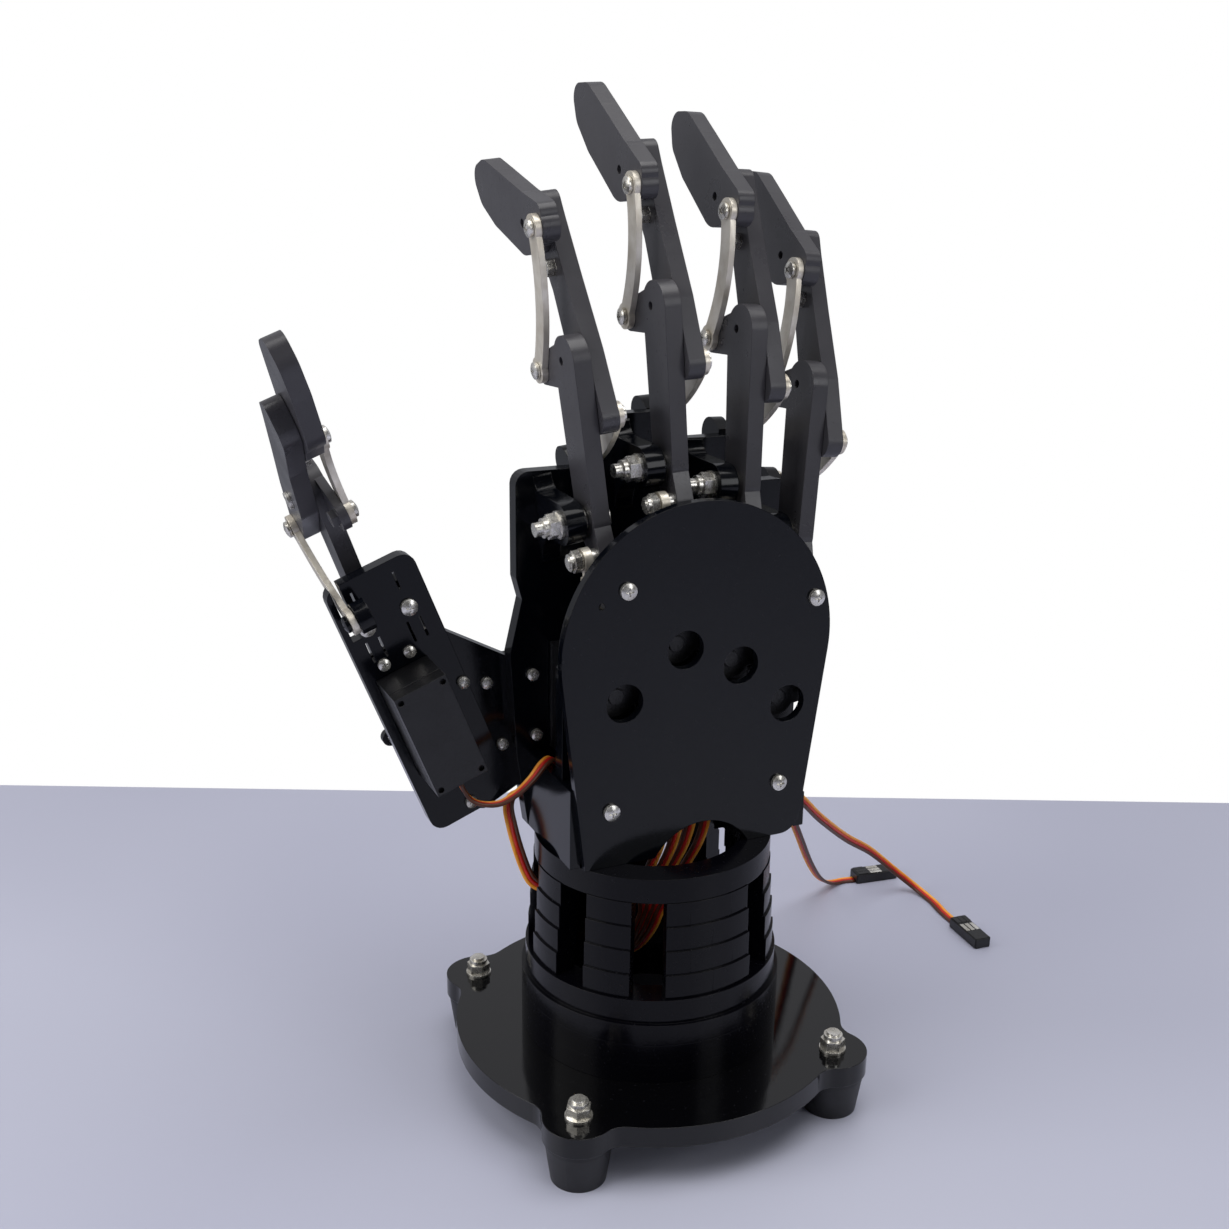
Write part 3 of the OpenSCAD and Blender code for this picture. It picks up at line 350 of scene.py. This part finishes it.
# three-pin housing in line with the end of a route, resting on the table
def leadPlug(name, route, length=0.022, width=0.008, height=0.005):
    end, before = Vector(route[-1]), Vector(route[-2])
    angle = math.atan2(end.y - before.y, end.x - before.x)
    shape = bmesh.new()

    def block(low, high, slot=0):
        xs, ys, zs = zip(low, high)
        corners = [(x, y, z) for x in xs for y in ys for z in zs]
        v = [shape.verts.new(c) for c in corners]
        sides = ((0, 1, 3, 2), (4, 6, 7, 5), (0, 4, 5, 1), (2, 3, 7, 6), (0, 2, 6, 4), (1, 5, 7, 3))
        for ids in sides:
            shape.faces.new([v[k] for k in ids]).material_index = slot

    half = width / 2
    pitch = width / 3.2
    block((0, -half, 0), (length, half, height))
    bmesh.ops.bevel(shape, geom=list(shape.edges), offset=0.0004, segments=2, affect="EDGES")
    for k in (-1, 0, 1):
        middle = k * pitch
        # a steel contact in the top face, then the raised tongue nearer the wires
        block((length * 0.35, middle - 0.0009, height - 0.0003),
              (length * 0.62, middle + 0.0009, height + 0.0001), 1)
        block((length * 0.05, middle - 0.0011, height - 0.0002),
              (length * 0.28, middle + 0.0011, height + 0.0003))
    mesh = bpy.data.meshes.new(name)
    shape.to_mesh(mesh)
    shape.free()
    mesh.transform(Matrix.Translation((end.x, end.y, 0)) @ Matrix.Rotation(angle, 4, "Z"))
    piece = bpy.data.objects.new(name, mesh)
    scene.collection.objects.link(piece)
    mesh.materials.append(look["servo"])
    mesh.materials.append(look["steel"])
    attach(piece, "base")
    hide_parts("lead_plugs")
    return piece


plugA = leadPlug("leadPlugA", sideRouteA)
plugB = leadPlug("leadPlugB", sideRouteB)
ribbon("thumbLeadWires", "thumb_lead", thumbRoute, (0, 1, 0), (0, 1, 0))
# the four finger leads fan out where they pass over the notch and close up again below
fanPlaces = [(-0.0085, 0.0), (-0.0035, 0.0009), (0.0022, 0.0003), (0.0078, 0.0012)]
# the leads are fanned over the first points of the route, and bunched tighter from a later one
fanPoints = 10
bunchedFrom = 12
restSpread = 0.35
bunchedSpread = 0.5
# where they aren't fanned, each lies this much further back than the one before
stackStep = 0.0008
for number, (spread, sag) in enumerate(fanPlaces):
    fan = []
    for k, (x, y, z) in enumerate(notchRoute):
        openness = math.sin(math.pi * k / fanPoints) ** 0.6 if k < fanPoints else 0.0
        share = restSpread + (1 - restSpread) * openness
        bunch = 1 if k < bunchedFrom else bunchedSpread
        fan.append((x + spread * share * bunch,
                    y - sag * openness - stackStep * number * (1 - openness), z))
    ribbon("notchLeadWires" + str(number + 1), "notch_leads", fan, (1, 0, 0), (1, 0, 0))
ribbon("sideLeadWiresA", "side_lead_a", sideRouteA, (0, 0, 1), (1, 0, 0))
ribbon("sideLeadWiresB", "side_lead_b", sideRouteB, (0, 0, -1), (0, 1, 0))
print("stage: servo leads")


def setMaterial(thing, material):
    thing.data.materials.clear()
    thing.data.materials.append(material)


def chooseLook(name):
    if name == "rubber_feet":
        return "rubber"
    if name == "base_plate":
        return "baseAcrylic"
    if name in ("turret_rings", "turret_tiles"):
        return "turret"
    if name in ("m5_bolts", "m3_screws", "cover_standoffs"):
        return "steel"
    if name == "lead_plugs":
        return "servo"
    if name.startswith("servo_") and name != "servo_plate" or name.endswith("_horn"):
        return "servo"
    if name.endswith(("_link", "_pushrod")):
        return "link"
    if name.endswith(("_proximal", "_intermediate", "_distal")):
        return "finger"
    return "acrylic"


for nodeName, thing in nodes.items():
    setMaterial(thing, look[chooseLook(nodeName)])


# pins, washers, nuts and spacers that share a solid with a finger plate shine like steel
def steelFaces(nodeName, base, side, low, high):
    thing = nodes[nodeName]
    thing.data.materials.append(look["steel"])
    base = Vector(base)
    side = Vector(side).normalized()
    edge = 0.00002
    for face in thing.data.polygons:
        spread = [(thing.data.vertices[k].co - base).dot(side) for k in face.vertices]
        if max(spread) > high + edge or min(spread) < low - edge:
            face.material_index = 1


# thickness of a finger plate, and where the next plate on the same axis starts
plateThickness = 0.0063
nextPlate = 0.0065
# each finger's knuckle, its lean in degrees and the way its axis points
seats = {"index": ((-0.03, -0.002, 0.225), 6.7, 1), "middle": ((-0.0006, -0.002, 0.242), 3.0, 1),
         "ring": ((0.0283, -0.002, 0.233), -2.0, 1), "little": ((0.0513, -0.002, 0.2125), -5.0, 1),
         "thumb": ((-0.0915, 0.046, 0.1874), 21.5, -1)}
for finger, (base, splay, turn) in seats.items():
    side = (turn * math.cos(math.radians(splay)), 0, turn * math.sin(math.radians(splay)))
    steelFaces(finger + "_proximal", base, side, 0.0, plateThickness)
    steelFaces(finger + "_intermediate", base, side, nextPlate, nextPlate + plateThickness)
    steelFaces(finger + "_distal", base, side, 0.0, plateThickness)
print("stage: finishes on the CAD nodes")


# ---- floor, light and surroundings ----
def makeFloor():
    mesh = bpy.data.meshes.new("tableTop")
    # the far edge of the table runs slantwise behind the hand
    a = Vector((-0.2185, 0.3840, 0))
    b = Vector((0.4073, 0.0940, 0))
    along = (b - a).normalized()
    overrun = along * 1.2
    depth = Vector((-along.y, along.x, 0)) * 2.2
    far = [a - overrun, b + overrun]
    near = [far[1] - depth, far[0] - depth]
    mesh.from_pydata([tuple(p) for p in far + near], [], [(3, 2, 1, 0)])
    floor = bpy.data.objects.new("tableTop", mesh)
    scene.collection.objects.link(floor)
    material, tree = newMaterial("pale lavender table")
    cloud = objectNoise(tree, 2.2, 2.0)
    colour = ramp(tree, cloud.outputs["Fac"], [(0.3, srgb("#B4B6CA")), (0.7, srgb("#C2C4D5"))])
    shader = add(tree, "ShaderNodeBsdfPrincipled", {"Base Color": colour}, Roughness=0.42)
    finishMaterial(tree, shader)
    setMaterial(floor, material)


def makeLight(name, place, target, size, power, colour=(1, 1, 1)):
    data = bpy.data.lights.new(name, "AREA")
    data.shape = "RECTANGLE"
    data.size, data.size_y = size
    data.energy = power
    data.color = colour
    lamp = bpy.data.objects.new(name, data)
    scene.collection.objects.link(lamp)
    lamp.location = place
    lamp.rotation_euler = (Vector(target) - Vector(place)).to_track_quat("-Z", "Y").to_euler()


def makeWorld():
    world = bpy.data.worlds.new("paleRoom")
    world.use_nodes = True
    tree = world.node_tree
    tree.nodes.clear()
    coords = add(tree, "ShaderNodeTexCoord")
    split = add(tree, "ShaderNodeSeparateXYZ", {0: coords.outputs["Generated"]})
    height = ramp(tree, mapped(tree, split.outputs["Z"], 0.0, 1.0, -1.0, 1.0),
                  [(0.40, (0.30, 0.31, 0.35, 1)), (0.52, (0.36, 0.37, 0.40, 1)),
                   (0.85, (0.62, 0.62, 0.65, 1))])
    side = mapped(tree, split.outputs["Y"], 0.18, 1.0, -0.7, 0.6)
    dim = add(tree, "ShaderNodeMixRGB", {1: height, 2: side}, blend_type="MULTIPLY")
    dim.inputs[0].default_value = 1.0
    room = add(tree, "ShaderNodeBackground", {"Color": dim.outputs[0]}, Strength=0.85)
    plain = add(tree, "ShaderNodeBackground", Color=(1, 1, 1, 1), Strength=1.0)
    ray = add(tree, "ShaderNodeLightPath")
    mix = add(tree, "ShaderNodeMixShader",
              {0: ray.outputs["Is Camera Ray"], 1: room.outputs[0], 2: plain.outputs[0]})
    out = add(tree, "ShaderNodeOutputWorld", {"Surface": mix.outputs[0]})
    scene.world = world


makeFloor()
makeWorld()
makeLight("windowLeft", (-1.3, 0.1, 1.0), (0, 0, 0.2), (1.1, 1.3), 13, (1.0, 0.99, 0.97))
makeLight("ceiling", (0.2, -0.3, 1.8), (0, 0, 0.1), (1.6, 1.2), 16, (1.0, 0.99, 0.98))
makeLight("frontFill", (0.7, -1.2, 0.7), (0, 0, 0.15), (0.5, 0.7), 3.0, (0.97, 0.98, 1.0))
scene.view_settings.view_transform = "Standard"
print("stage: floor, light and surroundings")
